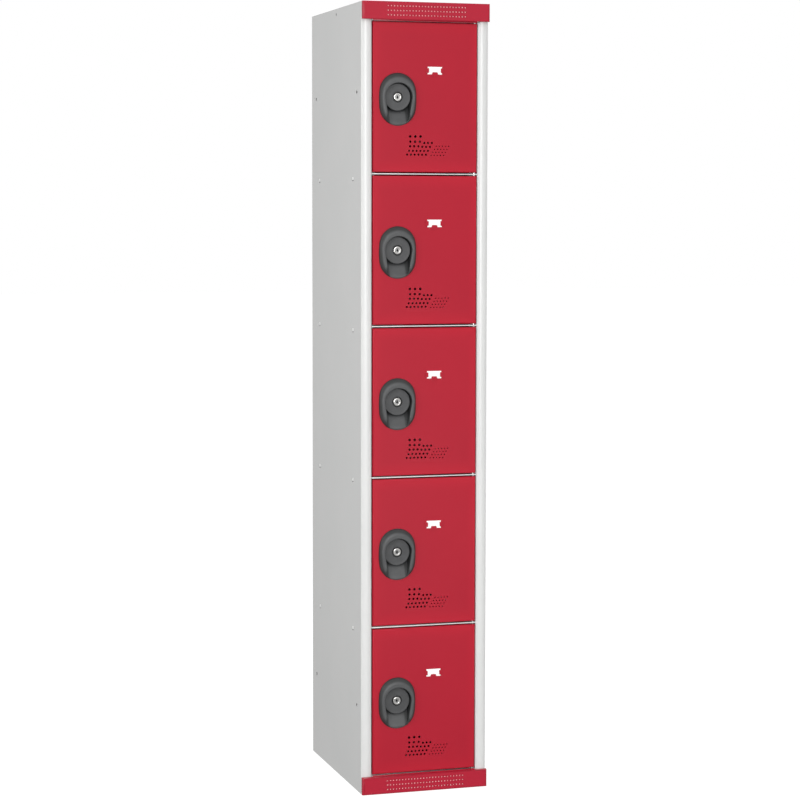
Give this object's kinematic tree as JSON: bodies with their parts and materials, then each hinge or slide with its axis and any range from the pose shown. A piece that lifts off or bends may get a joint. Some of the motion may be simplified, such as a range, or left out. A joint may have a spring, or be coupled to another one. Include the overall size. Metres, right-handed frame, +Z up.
{
  "type": "multi-compartment locker",
  "caption": "Tall narrow steel locker with one column of hinged lockable doors, each with an oval pull handle, vent holes and a label card.",
  "frame": {"origin": "on the floor under the middle of the overall box", "axes": "+Z up, the doors face -Y, +X to the right of someone facing the doors"},
  "size_m": [0.3, 0.45, 1.8],
  "materials": {
    "carcass_paint": "light grey powder coat, satin",
    "door_paint": "red powder coat, semi-gloss",
    "band_paint": "red powder coat, gloss",
    "black_plastic": "black moulded plastic, fine texture",
    "label_card": "white card",
    "bright_steel": "polished",
    "plated_steel": "zinc plated"
  },
  "bodies": {
    "carcass": {"left_side_panel": "carcass_paint", "right_side_panel": "carcass_paint", "back_panel": "carcass_paint", "roof_panel": "carcass_paint", "floor_panel": "carcass_paint", "shelf_1": "carcass_paint", "shelf_2": "carcass_paint", "shelf_3": "carcass_paint", "shelf_4": "carcass_paint", "top_fascia": "band_paint", "plinth": "band_paint", "hinge_pins": "bright_steel"},
    "door_leaf_1": {"door_1": "door_paint", "handle_1": "black_plastic", "pull_disc_1": "black_plastic", "label_card_1": "label_card"},
    "lock_1": {"lock_plug_1": "bright_steel", "cam_1": "plated_steel", "cam_bolt_1": "plated_steel"},
    "door_leaf_2": {"door_2": "door_paint", "handle_2": "black_plastic", "pull_disc_2": "black_plastic", "label_card_2": "label_card"},
    "lock_2": {"lock_plug_2": "bright_steel", "cam_2": "plated_steel", "cam_bolt_2": "plated_steel"},
    "door_leaf_3": {"door_3": "door_paint", "handle_3": "black_plastic", "pull_disc_3": "black_plastic", "label_card_3": "label_card"},
    "lock_3": {"lock_plug_3": "bright_steel", "cam_3": "plated_steel", "cam_bolt_3": "plated_steel"},
    "door_leaf_4": {"door_4": "door_paint", "handle_4": "black_plastic", "pull_disc_4": "black_plastic", "label_card_4": "label_card"},
    "lock_4": {"lock_plug_4": "bright_steel", "cam_4": "plated_steel", "cam_bolt_4": "plated_steel"},
    "door_leaf_5": {"door_5": "door_paint", "handle_5": "black_plastic", "pull_disc_5": "black_plastic", "label_card_5": "label_card"},
    "lock_5": {"lock_plug_5": "bright_steel", "cam_5": "plated_steel", "cam_bolt_5": "plated_steel"}
  },
  "joints": [
    {"name": "door_1_hinge", "type": "hinge", "parent": "carcass", "child": "door_leaf_1", "pos_m": [0.118, -0.208, 1.588], "axis": [0, 0, 1], "range_deg": [0, 110]},
    {"name": "lock_1_turn", "type": "hinge", "parent": "door_leaf_1", "child": "lock_1", "pos_m": [-0.065, -0.2, 1.588], "axis": [0, 1, 0], "range_deg": [0, 90]},
    {"name": "door_2_hinge", "type": "hinge", "parent": "carcass", "child": "door_leaf_2", "pos_m": [0.118, -0.208, 1.244], "axis": [0, 0, 1], "range_deg": [0, 110]},
    {"name": "lock_2_turn", "type": "hinge", "parent": "door_leaf_2", "child": "lock_2", "pos_m": [-0.065, -0.2, 1.244], "axis": [0, 1, 0], "range_deg": [0, 90]},
    {"name": "door_3_hinge", "type": "hinge", "parent": "carcass", "child": "door_leaf_3", "pos_m": [0.118, -0.208, 0.9], "axis": [0, 0, 1], "range_deg": [0, 110]},
    {"name": "lock_3_turn", "type": "hinge", "parent": "door_leaf_3", "child": "lock_3", "pos_m": [-0.065, -0.2, 0.9], "axis": [0, 1, 0], "range_deg": [0, 90]},
    {"name": "door_4_hinge", "type": "hinge", "parent": "carcass", "child": "door_leaf_4", "pos_m": [0.118, -0.208, 0.556], "axis": [0, 0, 1], "range_deg": [0, 110]},
    {"name": "lock_4_turn", "type": "hinge", "parent": "door_leaf_4", "child": "lock_4", "pos_m": [-0.065, -0.2, 0.556], "axis": [0, 1, 0], "range_deg": [0, 90]},
    {"name": "door_5_hinge", "type": "hinge", "parent": "carcass", "child": "door_leaf_5", "pos_m": [0.118, -0.208, 0.212], "axis": [0, 0, 1], "range_deg": [0, 110]},
    {"name": "lock_5_turn", "type": "hinge", "parent": "door_leaf_5", "child": "lock_5", "pos_m": [-0.065, -0.2, 0.212], "axis": [0, 1, 0], "range_deg": [0, 90]}
  ]
}
